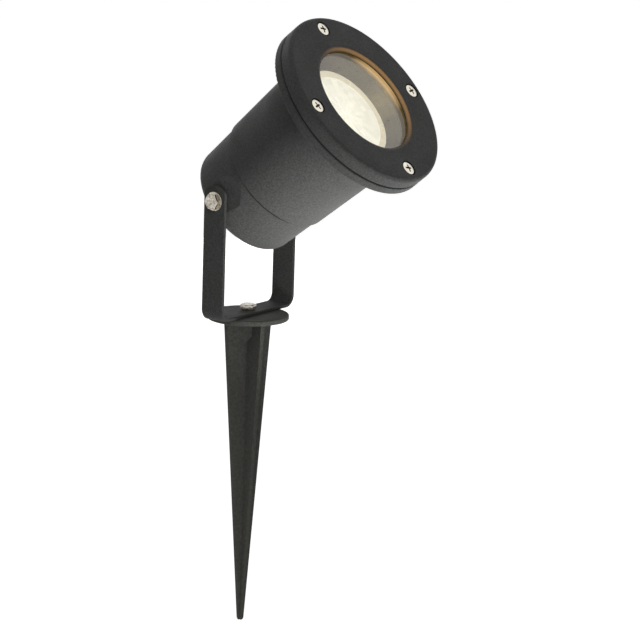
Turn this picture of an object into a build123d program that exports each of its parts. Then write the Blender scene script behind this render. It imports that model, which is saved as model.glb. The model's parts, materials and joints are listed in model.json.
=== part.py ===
"""Garden spike spotlight: a tilting lamp head, held in a yoke bracket on a ground spike.

Millimetres. The origin is the centre of the underside of the spike's disc, at ground level.
+Z is up, +X is the way the head points, and the head tilts about an axis along Y.
"""

from build123d import *

import os
from math import cos, radians, sin, sqrt, tan

os.makedirs("parts", exist_ok=True)

# Driving dimensions: clearances
thread_fit = 0.05
pivot_fit = 0.05
swivel_gap = 0.05
pivot_gap = 0.1
seat_gap = 0.1
hole_play = 0.2

# Driving dimensions: ground spike
disc_radius = 20.5
disc_thickness = 2.7
disc_edge = 0.7
spike_length = 157.0
rib_reach = 13.6
rib_thickness = 2.2
rib_turn = -20.5
tip_radius = 1.4
boss_reach = 4.7
boss_depth = 11.5
boss_slope = 47.5
insert_wall = 0.8
insert_depth = 5.0

# Driving dimensions: bolts of the bracket and the pivot
bolt_radius = 2.0
bolt_head_flats = 7.0
bolt_head_height = 2.3
bolt_head_edge = 0.4
bolt_tip_gap = 0.3
washer_radius = 4.7
washer_thickness = 0.7
base_bolt_turn = 39.0
base_washer_radius = 3.5
friction_washer_radius = 5.2
friction_washer_thickness = 0.9

# Driving dimensions: yoke bracket
strip_width = 12.9
strip_thickness = 1.7
strip_edge = 0.35
arm_above_pivot = 7.7
arm_corner = 5.0
bend_inside = 4.3
pivot_height = 62.9

# Driving dimensions: head shell
tilt = 39.9
head_radius = 47.4
lip_depth = 1.7
bezel_front_edge = 2.2
bezel_rear_edge = 0.5
opening_edge = 2.8
opening_slope = 60.0
flange_thickness = 4.3
flange_edge = 0.6
neck_fillet = 2.0
shoulder_radius = 31.48
shoulder_edge = 0.4
crease_step = 0.92
tail_radius = 28.98
tail_edge = 4.8
tail_length = 28.2
pivot_from_rear = 7.5
pivot_above_axis = 0.57
housing_wall = 2.6
rear_wall = 3.6
seat_cut = 1.12
flat_gap = 0.3
flat_ahead = 9.8
flat_slope = 13.5
pivot_wall = 6.2
pivot_hole_floor = 1.0

# Driving dimensions: glass, seals and bezel screws
glass_radius = 32.2
glass_lap = 4.3
glass_thickness = 3.0
glass_edge = 0.4
seal_front = 0.6
seal_back = 0.9
seal_rim = 1.0
seal_recess = 0.3
gasket_thickness = 0.85
gasket_inset = 0.5
gasket_margin = 0.64
screw_count = 4
screw_radius = 2.0
screw_head_radius = 3.65
screw_head_height = 2.0
screw_head_edge = 0.7
screw_sink = 2.1
screw_recess_length = 4.4
screw_recess_width = 1.1
screw_recess_depth = 1.2

# Driving dimensions: lamp shroud
shroud_wall = 0.6
shroud_lap = 0.2
collar_inset = 1.5
collar_gap = 0.44
collar_reach = 0.95
shroud_bend = 4.0
dimple_radius = 0.8
dimple_share = 0.7
dimple_angles = (-27.0, -107.0, -207.0, -287.0)

# Driving dimensions: reflector lamp with a two-pin twist base
lamp_setback = 7.95
lamp_radius = 25.0
lamp_rim_depth = 3.0
lamp_face_radius = 21.4
lamp_face_sink = 0.2
lamp_cover_thickness = 2.0
lamp_shell = 1.6
lamp_neck_radius = 13.4
lamp_neck_depth = 32.2
lamp_length = 48.0
lamp_plug_length = 3.2
lamp_bowl_swell = 2.6
capsule_radius = 4.5
capsule_length = 20.0
pin_pitch = 10.0
pin_neck_radius = 1.6
pin_head_radius = 2.45
pin_head_length = 2.6
pin_length = 6.5

# Driving dimensions: lamp holder and its plate
lamp_gap = 0.4
holder_nose_radius = 14.0
holder_nose_length = 3.2
holder_flange_margin = 0.8
holder_flange_thickness = 3.0
holder_body_radius = 13.5
holder_length = 12.2
holder_twist = 25.0
pin_pocket_play = 0.25
pin_tip_gap = 0.2
contact_width = 4.0
contact_thickness = 0.5
contact_tail_radius = 0.8
plate_thickness = 1.2
plate_inset = 0.5
small_screw_radius = 1.5
small_screw_head_radius = 2.7
small_screw_head_height = 1.8
plate_screw_count = 3
plate_screw_length = 5.0
holder_screw_length = 3.4

# Driving dimensions: wiring room, terminal block and earth point
wiring_room = 13.6
block_width = 24.0
block_height = 7.0
block_depth = 9.5
block_offset = 9.5
terminal_screw_radius = 1.6
terminal_screw_length = 4.0
terminal_screw_sink = 0.8
lead_radius = 1.0
lead_bend = 4.0
lead_gland_gap = 0.5
earth_offset = 15.4
earth_boss_radius = 4.8
earth_boss_height = 3.0
earth_lug_thickness = 0.8
earth_screw_radius = 2.0
earth_screw_length = 5.0
earth_head_radius = 3.5
earth_head_height = 2.2

# Driving dimensions: cable gland
gland_thread_radius = 6.2
gland_bore_radius = 3.5
gland_flats = 15.0
gland_flange = 3.6
gland_thread_length = 4.8
gland_thread_past_nut = 0.8
locknut_flats = 16.0
locknut_thickness = 4.0
gland_seal_bore = 3.0
gland_seal_wall = 2.4
gland_seal_length = 3.0
gland_cap_wall = 1.6
gland_cap_dome = 1.6
gland_cap_gap = 0.4
gland_cap_end = 1.4
gland_cap_hole = 3.4

# Depths behind the bezel's front face, worked out from the stack of pieces
glass_front = lip_depth + seal_front
glass_rear = glass_front + glass_thickness
shroud_front = glass_rear + seal_back
bezel_depth = shroud_front + shroud_wall
flange_front = bezel_depth + gasket_thickness
flange_rear = flange_front + flange_thickness
shroud_bend_depth = flange_front + collar_reach
lamp_front = flange_front + lamp_setback
lamp_neck = lamp_front + lamp_neck_depth
lamp_rear = lamp_front + lamp_length
pin_tip = lamp_rear + pin_length
holder_front = lamp_rear + lamp_gap
ledge_depth = holder_front + holder_nose_length
plate_front = ledge_depth - plate_thickness
holder_flange_rear = ledge_depth + holder_flange_thickness
pocket_floor = pin_tip + pin_tip_gap + contact_thickness
holder_rear = holder_front + holder_length
chamber_floor = holder_rear + wiring_room
rear_depth = chamber_floor + rear_wall
crease_depth = rear_depth - tail_length
head_front = rear_depth - pivot_from_rear
locknut_front = chamber_floor - locknut_thickness
gland_inner_end = locknut_front - gland_thread_past_nut
lead_depth = gland_inner_end - lead_radius - lead_gland_gap

# Radii and reaches that follow from other sizes
opening_radius = glass_radius - glass_lap
opening_front = opening_radius + lip_depth / tan(radians(opening_slope))
seal_radius = glass_radius + seal_rim
rebate_radius = seal_radius + seat_gap
screw_circle = (rebate_radius + head_radius) / 2
collar_radius = glass_radius - collar_inset
collar_outer = collar_radius + shroud_wall
gasket_inner = collar_outer + gasket_margin
mouth_radius = collar_outer + collar_gap
neck_radius = mouth_radius + housing_wall
tail_front_radius = shoulder_radius - crease_step
side_flat = tail_radius - seat_cut
chamber_radius = side_flat - pivot_wall
cone_slope = (neck_radius - shoulder_radius) / (crease_depth - flange_rear)
ledge_radius = mouth_radius - cone_slope * (ledge_depth - flange_front)
plate_screw_circle = (chamber_radius + ledge_radius) / 2
holder_screw_circle = holder_nose_radius + small_screw_head_radius + hole_play
holder_flange_radius = holder_screw_circle + small_screw_radius + holder_flange_margin
arm_inside = side_flat + friction_washer_thickness + pivot_gap
arm_flat = arm_inside - flat_gap
arm_outside = arm_inside + strip_thickness
arm_top = pivot_height + arm_above_pivot
base_underside = disc_thickness + swivel_gap
base_top = base_underside + strip_thickness
base_head = base_top + swivel_gap + washer_thickness
pivot_head = arm_outside + pivot_gap / 2 + washer_thickness
insert_radius = bolt_radius + insert_wall
bolt_tip = bolt_tip_gap - insert_depth
pivot_tip = chamber_radius + pivot_hole_floor + bolt_tip_gap

# The head's own directions and planes
head_dir = Vector(cos(radians(tilt)), 0, sin(radians(tilt)))
head_up = Vector(-sin(radians(tilt)), 0, cos(radians(tilt)))
pivot_point = Vector(0, 0, pivot_height)
front_centre = pivot_point + head_dir * head_front - head_up * pivot_above_axis
head_axis = Axis(front_centre, head_dir)


def head_section(sideways=0.0):
    """Plane through the head's axis: x is the distance above it, -y the depth behind the bezel's front."""
    return Plane(origin=front_centre + Vector(0, sideways, 0), x_dir=head_up, z_dir=(0, 1, 0))


def head_plane(depth):
    """Plane square to the head's axis at a depth behind the bezel's front, facing forward."""
    return Plane(origin=front_centre - head_dir * depth, x_dir=head_up, z_dir=head_dir)


def pivot_plane(distance):
    """Plane square to the tilt axis at a distance along +Y, facing outward, with x along the head."""
    return Plane(origin=pivot_point + Vector(0, distance, 0), x_dir=head_dir, z_dir=(0, 1, 0))


def upright_plane(angle):
    """Upright plane through the spike's axis, with x along the given angle and y up."""
    turn = radians(angle)
    return Plane(origin=(0, 0, 0), x_dir=(cos(turn), sin(turn), 0), z_dir=(sin(turn), -cos(turn), 0))


def ring_cut(inner, outer, front, rear):
    """Add the cut face of one ring or disc of the head to the current section sketch."""
    with Locations(((inner + outer) / 2, -(front + rear) / 2)):
        Rectangle(outer - inner, rear - front)


def hexagon(flats, turn=0.0):
    """Add a hexagon, sized across its flats and turned by an angle, to the current sketch."""
    RegularPolygon(radius=flats / 2, side_count=6, major_radius=False, rotation=turn)


def save(name, piece):
    """Label one finished piece and write it as a STEP file."""
    piece.part.label = name
    export_step(piece.part, f"parts/{name}.step")


# Ground spike: round disc, four tapering ribs, and a pointed boss round the threaded insert
boss_half = boss_reach - rib_thickness / sqrt(2) + rib_thickness / 4
boss_straight = boss_depth - boss_half * tan(radians(boss_slope))
tip_start = spike_length - tip_radius

with BuildPart() as ground_spike:
    Cylinder(disc_radius, disc_thickness, align=(Align.CENTER, Align.CENTER, Align.MIN))
    fillet(ground_spike.edges(), disc_edge)
    for diagonal in (45, 135):
        with BuildSketch(upright_plane(rib_turn + diagonal)):
            with BuildLine():
                Polyline(
                    (-boss_half, 0),
                    (boss_half, 0),
                    (boss_half, -boss_straight),
                    (0, -boss_depth),
                    (-boss_half, -boss_straight),
                    close=True,
                )
            make_face()
        extrude(amount=boss_reach, both=True)
    for quarter in (0, 90):
        with BuildSketch(upright_plane(rib_turn + quarter)):
            with BuildLine():
                Polyline((tip_radius, -tip_start), (rib_reach, 0), (-rib_reach, 0), (-tip_radius, -tip_start))
                ThreePointArc((-tip_radius, -tip_start), (0, -spike_length), (tip_radius, -tip_start))
            make_face()
        extrude(amount=rib_thickness / 2, both=True)
    with BuildSketch(Plane.XY.offset(disc_thickness)):
        Circle(insert_radius + thread_fit)
    extrude(amount=-disc_thickness - insert_depth, mode=Mode.SUBTRACT)
save("ground_spike", ground_spike)

# Threaded insert, moulded into the boss, flush with the top of the disc
with BuildPart() as spike_insert:
    with BuildSketch(Plane.XY.offset(disc_thickness)):
        Circle(insert_radius)
        Circle(bolt_radius + thread_fit, mode=Mode.SUBTRACT)
    extrude(amount=-disc_thickness - insert_depth)
save("spike_insert", spike_insert)

# Base bolt, upright through the bracket into the insert
with BuildPart() as base_bolt:
    with BuildSketch(Plane.XY.offset(base_head)):
        hexagon(bolt_head_flats, base_bolt_turn)
    extrude(amount=bolt_head_height)
    chamfer(base_bolt.faces().sort_by(Axis.Z)[-1].edges(), bolt_head_edge)
    with BuildSketch(Plane.XY.offset(bolt_tip)):
        Circle(bolt_radius)
    extrude(amount=base_head - bolt_tip)
save("base_bolt", base_bolt)

# Small washer, hidden under the base bolt's head
with BuildPart() as base_washer:
    with BuildSketch(Plane.XY.offset(base_head)):
        Circle(base_washer_radius)
        Circle(bolt_radius + hole_play, mode=Mode.SUBTRACT)
    extrude(amount=-washer_thickness)
save("base_washer", base_washer)


# Yoke bracket: one steel strip, its base flat on the disc, its arms rounded at the top
def strip_line(half_width, seat_height, bend):
    """Draw one face of the bent strip, from the top of one arm to the top of the other."""
    FilletPolyline(
        (-half_width, arm_top),
        (-half_width, seat_height),
        (half_width, seat_height),
        (half_width, arm_top),
        radius=bend,
    )


with BuildPart() as yoke_bracket:
    with BuildSketch(Plane.YZ):
        with BuildLine():
            strip_line(arm_outside, base_underside, bend_inside + strip_thickness)
            strip_line(arm_inside, base_top, bend_inside)
            Line((-arm_outside, arm_top), (-arm_inside, arm_top))
            Line((arm_inside, arm_top), (arm_outside, arm_top))
        make_face()
    extrude(amount=strip_width / 2, both=True)
    fillet(yoke_bracket.edges().filter_by(Axis.Y).group_by(Axis.Z)[-1], arm_corner)
    strip_faces = yoke_bracket.faces().filter_by(Axis.X)
    chamfer(strip_faces.edges(), strip_edge)
    with BuildSketch(Plane.XY):
        Circle(bolt_radius + pivot_fit)
    extrude(amount=pivot_height / 2, mode=Mode.SUBTRACT)
    with BuildSketch(pivot_plane(0)):
        Circle(bolt_radius + pivot_fit)
    extrude(amount=2 * arm_outside, both=True, mode=Mode.SUBTRACT)
save("yoke_bracket", yoke_bracket)

# Pivot bolts, through the arms into the sides of the housing
with BuildPart() as pivot_bolts:
    with BuildSketch(pivot_plane(pivot_head)):
        hexagon(bolt_head_flats)
    extrude(amount=bolt_head_height)
    chamfer(pivot_bolts.faces().sort_by(Axis.Y)[-1].edges(), bolt_head_edge)
    with BuildSketch(pivot_plane(pivot_tip)):
        Circle(bolt_radius)
    extrude(amount=pivot_head - pivot_tip)
    mirror(about=Plane.XZ)
save("pivot_bolts", pivot_bolts)

# Flat washers under the pivot bolts' heads
with BuildPart() as pivot_washers:
    with BuildSketch(pivot_plane(pivot_head)):
        Circle(washer_radius)
        Circle(bolt_radius + hole_play, mode=Mode.SUBTRACT)
    extrude(amount=-washer_thickness)
    mirror(about=Plane.XZ)
save("pivot_washers", pivot_washers)

# Plastic washers between the arms and the housing
with BuildPart() as friction_washers:
    with BuildSketch(pivot_plane(side_flat)):
        Circle(friction_washer_radius)
        Circle(bolt_radius + hole_play, mode=Mode.SUBTRACT)
    extrude(amount=friction_washer_thickness)
    mirror(about=Plane.XZ)
save("friction_washers", friction_washers)

# Tool that cuts the housing's flats, over which the arms pass as the head tilts; ahead of the pivot they run out
flat_front = head_front - flat_ahead
flat_top = tail_front_radius + seat_gap
flat_end = flat_front - (flat_top - arm_flat) / tan(radians(flat_slope))
past_rear = rear_depth + rear_wall
across_plane = Plane(origin=front_centre, x_dir=(0, 1, 0), z_dir=-head_up)

with BuildPart() as arm_flats:
    with BuildSketch(across_plane):
        for side in (1, -1):
            with BuildLine():
                Polyline(
                    (side * arm_flat, -past_rear),
                    (side * arm_flat, -flat_front),
                    (side * flat_top, -flat_end),
                    (side * flat_top, -past_rear),
                    close=True,
                )
            make_face()
    extrude(amount=head_radius, both=True)

# Body housing: flanged cone with a creased tail, flats for the arms and a wiring chamber
gland_hole = gland_thread_radius + seat_gap

with BuildPart() as body_housing:
    with BuildSketch(head_section()):
        with BuildLine():
            FilletPolyline(
                (mouth_radius, -flange_front),
                (head_radius, -flange_front),
                (head_radius, -flange_rear),
                (neck_radius, -flange_rear),
                (shoulder_radius, -crease_depth),
                (tail_front_radius, -crease_depth),
                (tail_radius, -rear_depth),
                (gland_hole, -rear_depth),
                (gland_hole, -chamber_floor),
                (chamber_radius, -chamber_floor),
                (chamber_radius, -ledge_depth),
                (ledge_radius, -ledge_depth),
                radius=[0, flange_edge, flange_edge, neck_fillet, shoulder_edge, 0, tail_edge, 0, 0, 0, 0, 0],
                close=True,
            )
        make_face()
    revolve(axis=head_axis)
    add(arm_flats.part, mode=Mode.SUBTRACT)
    for side in (1, -1):
        washer_seat = Plane(
            origin=pivot_point + Vector(0, side * side_flat, 0), x_dir=head_dir, z_dir=(0, side, 0)
        )
        with BuildSketch(washer_seat):
            Circle(friction_washer_radius + hole_play)
        extrude(amount=friction_washer_thickness + seat_cut, mode=Mode.SUBTRACT)
        with BuildSketch(washer_seat):
            Circle(bolt_radius + thread_fit)
        extrude(amount=pivot_hole_floor - pivot_wall, mode=Mode.SUBTRACT)
    with BuildSketch(head_plane(flange_front)):
        with PolarLocations(screw_circle, screw_count):
            Circle(screw_radius + thread_fit)
    extrude(amount=-flange_thickness, mode=Mode.SUBTRACT)
    with BuildSketch(head_plane(ledge_depth)):
        with PolarLocations(plate_screw_circle, plate_screw_count):
            Circle(small_screw_radius + thread_fit)
    extrude(amount=-plate_screw_length, mode=Mode.SUBTRACT)
    with BuildSketch(head_plane(chamber_floor)):
        with Locations((-earth_offset, 0)):
            Circle(earth_boss_radius)
    extrude(amount=earth_boss_height)
    with BuildSketch(head_plane(chamber_floor - earth_boss_height)):
        with Locations((-earth_offset, 0)):
            Circle(earth_screw_radius + thread_fit)
    extrude(amount=-earth_screw_length, mode=Mode.SUBTRACT)
save("body_housing", body_housing)

# Bezel gasket, between the flange and the bezel
with BuildPart() as bezel_gasket:
    with BuildSketch(head_plane(flange_front)):
        Circle(head_radius - gasket_inset)
        Circle(gasket_inner, mode=Mode.SUBTRACT)
        with PolarLocations(screw_circle, screw_count):
            Circle(screw_radius + hole_play, mode=Mode.SUBTRACT)
    extrude(amount=gasket_thickness)
save("bezel_gasket", bezel_gasket)

# Bezel ring, with a rounded front, a rebate for the glass and sunk screw holes
with BuildPart() as bezel_ring:
    with BuildSketch(head_section()):
        with BuildLine():
            FilletPolyline(
                (opening_front, 0),
                (head_radius, 0),
                (head_radius, -bezel_depth),
                (rebate_radius, -bezel_depth),
                (rebate_radius, -lip_depth),
                (opening_radius, -lip_depth),
                radius=[opening_edge, bezel_front_edge, bezel_rear_edge, 0, 0, 0],
                close=True,
            )
        make_face()
    revolve(axis=head_axis)
    with BuildSketch(head_plane(0)):
        with PolarLocations(screw_circle, screw_count):
            Circle(screw_radius + hole_play)
    extrude(amount=-bezel_depth, mode=Mode.SUBTRACT)
    with BuildSketch(head_plane(0)):
        with PolarLocations(screw_circle, screw_count):
            Circle(screw_head_radius + 2 * hole_play)
    extrude(amount=-screw_sink, mode=Mode.SUBTRACT)
save("bezel_ring", bezel_ring)

# Bezel screws: domed heads with a cross recess
with BuildPart() as bezel_screws:
    with BuildSketch(head_plane(screw_sink)):
        with PolarLocations(screw_circle, screw_count):
            Circle(screw_head_radius)
    extrude(amount=screw_head_height)
    head_rims = bezel_screws.faces().filter_by(head_plane(0)).group_by(head_axis)[-1].edges()
    fillet(head_rims, screw_head_edge)
    with BuildSketch(head_plane(screw_sink)):
        with PolarLocations(screw_circle, screw_count):
            Circle(screw_radius)
    extrude(amount=screw_sink - flange_rear)
    with BuildSketch(head_plane(screw_sink - screw_head_height)):
        with PolarLocations(screw_circle, screw_count):
            Rectangle(screw_recess_length, screw_recess_width)
            Rectangle(screw_recess_width, screw_recess_length)
    extrude(amount=-screw_recess_depth, mode=Mode.SUBTRACT)
save("bezel_screws", bezel_screws)

# Front glass, a flat toughened disc
with BuildPart() as glass_lens:
    with BuildSketch(head_plane(glass_rear)):
        Circle(glass_radius)
    extrude(amount=glass_thickness)
    chamfer(glass_lens.edges(), glass_edge)
save("glass_lens", glass_lens)

# Glass seal: a channel of rubber that wraps the rim of the glass
with BuildPart() as glass_seal:
    with BuildSketch(head_section()):
        ring_cut(glass_radius, seal_radius, lip_depth, shroud_front)
        ring_cut(opening_radius + seal_recess, glass_radius, lip_depth, glass_front)
        ring_cut(collar_outer + hole_play, glass_radius, glass_rear, shroud_front)
    revolve(axis=head_axis)
save("glass_seal", glass_seal)

# Lamp shroud: collar behind the glass, clamped flange, and a cone in to the rim of the lamp
shroud_inner = lamp_radius + hole_play

with BuildPart() as lamp_shroud:
    with BuildSketch(head_section()):
        ring_cut(collar_radius, seal_radius, shroud_front, bezel_depth)
        with BuildLine():
            FilletPolyline(
                (collar_radius, -glass_rear - shroud_lap),
                (collar_radius, -shroud_bend_depth),
                (shroud_inner, -lamp_front),
                (shroud_inner, -lamp_front - lamp_rim_depth),
                (shroud_inner + shroud_wall, -lamp_front - lamp_rim_depth),
                (shroud_inner + shroud_wall, -lamp_front),
                (collar_outer, -shroud_bend_depth),
                (collar_outer, -glass_rear - shroud_lap),
                radius=[0, shroud_bend, 0, 0, 0, 0, shroud_bend + shroud_wall, 0],
                close=True,
            )
        make_face()
    revolve(axis=head_axis)
    dimple_circle = collar_radius + dimple_share * (shroud_inner - collar_radius)
    dimple_plane = head_plane(shroud_bend_depth + dimple_share * (lamp_front - shroud_bend_depth))
    for dimple_angle in dimple_angles:
        with Locations(dimple_plane):
            with PolarLocations(dimple_circle, 1, start_angle=dimple_angle):
                Sphere(dimple_radius)
save("lamp_shroud", lamp_shroud)

# Lamp bowl: thick rim in front, then a thin curved shell down to the neck
bowl_mid_depth = (lamp_front + lamp_rim_depth + lamp_neck) / 2
bowl_mid_radius = (lamp_radius + lamp_neck_radius) / 2 + lamp_bowl_swell
cover_rear = lamp_front + lamp_face_sink + lamp_cover_thickness

with BuildPart() as lamp_bowl:
    with BuildSketch(head_section()):
        with BuildLine():
            Polyline(
                (lamp_face_radius - lamp_shell, -cover_rear),
                (lamp_face_radius, -cover_rear),
                (lamp_face_radius, -lamp_front),
                (lamp_radius, -lamp_front),
                (lamp_radius, -lamp_front - lamp_rim_depth),
            )
            ThreePointArc(
                (lamp_radius, -lamp_front - lamp_rim_depth),
                (bowl_mid_radius, -bowl_mid_depth),
                (lamp_neck_radius, -lamp_neck),
            )
            Line((lamp_neck_radius, -lamp_neck), (lamp_neck_radius - lamp_shell, -lamp_neck))
            ThreePointArc(
                (lamp_neck_radius - lamp_shell, -lamp_neck),
                (bowl_mid_radius - 2 * lamp_shell, -bowl_mid_depth),
                (lamp_face_radius - lamp_shell, -cover_rear),
            )
        make_face()
    revolve(axis=head_axis)
save("lamp_bowl", lamp_bowl)

# Lamp cover, the lit front face
with BuildPart() as lamp_cover:
    with BuildSketch(head_plane(cover_rear)):
        Circle(lamp_face_radius - seat_gap)
    extrude(amount=lamp_cover_thickness)
save("lamp_cover", lamp_cover)

# Lamp base: plug in the bowl's neck, and a plain body behind it
plug_front = lamp_neck - lamp_plug_length

with BuildPart() as lamp_base:
    with BuildSketch(head_section()):
        ring_cut(0, lamp_neck_radius - lamp_shell - seat_gap, plug_front, lamp_neck)
        ring_cut(0, lamp_neck_radius, lamp_neck, lamp_rear)
    revolve(axis=head_axis)
save("lamp_base", lamp_base)

# Lamp capsule, standing on the plug
with BuildPart() as lamp_capsule:
    with BuildSketch(head_plane(plug_front)):
        Circle(capsule_radius)
    extrude(amount=capsule_length)
    fillet(lamp_capsule.faces().sort_by(head_axis)[-1].edges(), capsule_radius / 2)
save("lamp_capsule", lamp_capsule)

# Lamp pins, with wide tips that lock behind the holder's slots
with BuildPart() as lamp_pins:
    with BuildSketch(head_plane(lamp_rear)):
        with GridLocations(1, pin_pitch, 1, 2):
            Circle(pin_neck_radius)
    extrude(amount=-pin_length)
    with BuildSketch(head_plane(pin_tip)):
        with GridLocations(1, pin_pitch, 1, 2):
            Circle(pin_head_radius)
    extrude(amount=pin_head_length)
save("lamp_pins", lamp_pins)

# Lamp holder: ceramic body with a flange, two twist pockets and two contact holes
with BuildPart() as lamp_holder:
    with BuildSketch(head_section()):
        ring_cut(0, holder_nose_radius, holder_front, ledge_depth)
        ring_cut(0, holder_flange_radius, ledge_depth, holder_flange_rear)
        ring_cut(0, holder_body_radius, holder_flange_rear, holder_rear)
    revolve(axis=head_axis)
    with BuildSketch(head_plane(holder_front)):
        with PolarLocations(pin_pitch / 2, 2, start_angle=90):
            Circle(pin_head_radius + pin_pocket_play)
        with PolarLocations(pin_pitch / 2, 2, start_angle=90 - holder_twist):
            Circle(pin_head_radius + pin_pocket_play)
    extrude(amount=holder_front - pocket_floor, mode=Mode.SUBTRACT)
    with BuildSketch(head_plane(holder_front)):
        with GridLocations(1, pin_pitch, 1, 2):
            Circle(contact_tail_radius + thread_fit)
    extrude(amount=-holder_length, mode=Mode.SUBTRACT)
    with BuildSketch(head_plane(ledge_depth)):
        with GridLocations(2 * holder_screw_circle, 1, 2, 1):
            Circle(small_screw_radius + thread_fit)
    extrude(amount=-holder_flange_thickness, mode=Mode.SUBTRACT)
save("lamp_holder", lamp_holder)

# Holder contacts, on the floors of the pockets, with tails out of the rear
with BuildPart() as holder_contacts:
    with BuildSketch(head_plane(pocket_floor)):
        with GridLocations(1, pin_pitch, 1, 2):
            Circle(contact_width / 2)
    extrude(amount=contact_thickness)
    with BuildSketch(head_plane(holder_rear)):
        with GridLocations(1, pin_pitch, 1, 2):
            Circle(contact_tail_radius)
    extrude(amount=holder_rear - pocket_floor)
save("holder_contacts", holder_contacts)

# Holder plate, a steel disc on the ledge of the housing
with BuildPart() as holder_plate:
    with BuildSketch(head_plane(ledge_depth)):
        Circle(ledge_radius - plate_inset)
        Circle(holder_nose_radius + hole_play, mode=Mode.SUBTRACT)
        with PolarLocations(plate_screw_circle, plate_screw_count):
            Circle(small_screw_radius + hole_play, mode=Mode.SUBTRACT)
        with GridLocations(2 * holder_screw_circle, 1, 2, 1):
            Circle(small_screw_radius + hole_play, mode=Mode.SUBTRACT)
    extrude(amount=plate_thickness)
save("holder_plate", holder_plate)

# Plate screws, into the ledge
with BuildPart() as plate_screws:
    with BuildSketch(head_plane(plate_front)):
        with PolarLocations(plate_screw_circle, plate_screw_count):
            Circle(small_screw_head_radius)
    extrude(amount=small_screw_head_height)
    with BuildSketch(head_plane(plate_front)):
        with PolarLocations(plate_screw_circle, plate_screw_count):
            Circle(small_screw_radius)
    extrude(amount=-plate_screw_length)
save("plate_screws", plate_screws)

# Holder screws, through the plate into the holder's flange
with BuildPart() as holder_screws:
    with BuildSketch(head_plane(plate_front)):
        with GridLocations(2 * holder_screw_circle, 1, 2, 1):
            Circle(small_screw_head_radius)
    extrude(amount=small_screw_head_height)
    with BuildSketch(head_plane(plate_front)):
        with GridLocations(2 * holder_screw_circle, 1, 2, 1):
            Circle(small_screw_radius)
    extrude(amount=-holder_screw_length)
save("holder_screws", holder_screws)

# Terminal block, on the floor of the wiring chamber, with sunk screws
block_front = chamber_floor - block_depth
block_middle = block_offset + block_height / 2

with BuildPart() as terminal_block:
    with BuildSketch(head_plane(chamber_floor)):
        with Locations((block_middle, 0)):
            Rectangle(block_height, block_width)
    extrude(amount=block_depth)
    with BuildSketch(head_plane(block_front)):
        with Locations((block_middle, 0)):
            with GridLocations(1, pin_pitch, 1, 2):
                Circle(terminal_screw_radius + thread_fit)
    extrude(amount=-terminal_screw_sink - terminal_screw_length, mode=Mode.SUBTRACT)
save("terminal_block", terminal_block)

# Terminal screws
with BuildPart() as terminal_screws:
    with BuildSketch(head_plane(block_front + terminal_screw_sink)):
        with Locations((block_middle, 0)):
            with GridLocations(1, pin_pitch, 1, 2):
                Circle(terminal_screw_radius)
    extrude(amount=-terminal_screw_length)
save("terminal_screws", terminal_screws)

# Lamp leads, from the holder's contacts round to the terminal block
with BuildPart() as lamp_leads:
    with BuildLine(head_section(pin_pitch / 2)):
        FilletPolyline(
            (0, -holder_rear),
            (0, -lead_depth),
            (block_offset, -lead_depth),
            radius=lead_bend,
        )
    with BuildSketch(head_plane(holder_rear)):
        with Locations((0, -pin_pitch / 2)):
            Circle(lead_radius)
    sweep()
    mirror(about=Plane.XZ)
save("lamp_leads", lamp_leads)

# Earth lug and screw, on the boss in the wiring chamber
earth_seat = chamber_floor - earth_boss_height
earth_head = earth_seat - earth_lug_thickness

with BuildPart() as earth_lug:
    with BuildSketch(head_plane(earth_seat)):
        with Locations((-earth_offset, 0)):
            Circle(earth_boss_radius - hole_play)
            Circle(earth_screw_radius + hole_play, mode=Mode.SUBTRACT)
    extrude(amount=earth_lug_thickness)
save("earth_lug", earth_lug)

with BuildPart() as earth_screw:
    with BuildSketch(head_plane(earth_head)):
        with Locations((-earth_offset, 0)):
            Circle(earth_head_radius)
    extrude(amount=earth_head_height)
    with BuildSketch(head_plane(earth_head)):
        with Locations((-earth_offset, 0)):
            Circle(earth_screw_radius)
    extrude(amount=-earth_screw_length)
save("earth_screw", earth_screw)

# Cable gland: body through the rear wall, locknut inside, seal and cap outside
gland_flange_rear = rear_depth + gland_flange
gland_end = gland_flange_rear + gland_thread_length
gland_seal_rear = gland_end + gland_seal_length
gland_cap_rear = gland_seal_rear + gland_cap_end
gland_cap_inside = gland_thread_radius + thread_fit
gland_cap_radius = gland_cap_inside + gland_cap_wall

with BuildPart() as gland_body:
    with BuildSketch(head_section()):
        ring_cut(gland_bore_radius, gland_thread_radius, gland_inner_end, gland_end)
    revolve(axis=head_axis)
    with BuildSketch(head_plane(gland_flange_rear)):
        hexagon(gland_flats)
        Circle(gland_bore_radius, mode=Mode.SUBTRACT)
    extrude(amount=gland_flange)
save("gland_body", gland_body)

with BuildPart() as gland_locknut:
    with BuildSketch(head_plane(chamber_floor)):
        hexagon(locknut_flats)
        Circle(gland_thread_radius + thread_fit, mode=Mode.SUBTRACT)
    extrude(amount=locknut_thickness)
save("gland_locknut", gland_locknut)

with BuildPart() as gland_seal:
    with BuildSketch(head_section()):
        ring_cut(gland_seal_bore, gland_seal_bore + gland_seal_wall, gland_end, gland_seal_rear)
    revolve(axis=head_axis)
save("gland_seal", gland_seal)

with BuildPart() as gland_nut:
    with BuildSketch(head_section()):
        with BuildLine():
            FilletPolyline(
                (gland_cap_inside, -gland_flange_rear - gland_cap_gap),
                (gland_cap_radius, -gland_flange_rear - gland_cap_gap),
                (gland_cap_radius, -gland_cap_rear),
                (gland_cap_hole, -gland_cap_rear),
                (gland_cap_hole, -gland_seal_rear),
                (gland_cap_inside, -gland_seal_rear),
                radius=[0, 0, gland_cap_dome, 0, 0, 0],
                close=True,
            )
        make_face()
    revolve(axis=head_axis)
save("gland_nut", gland_nut)
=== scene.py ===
"""Looks of a garden spike spotlight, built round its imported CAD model.

Metres, in the frame of the CAD model: +Z up along the spike, +X the way the head points.
"""

import json
from math import cos, pi, radians, sin, tan

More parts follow.
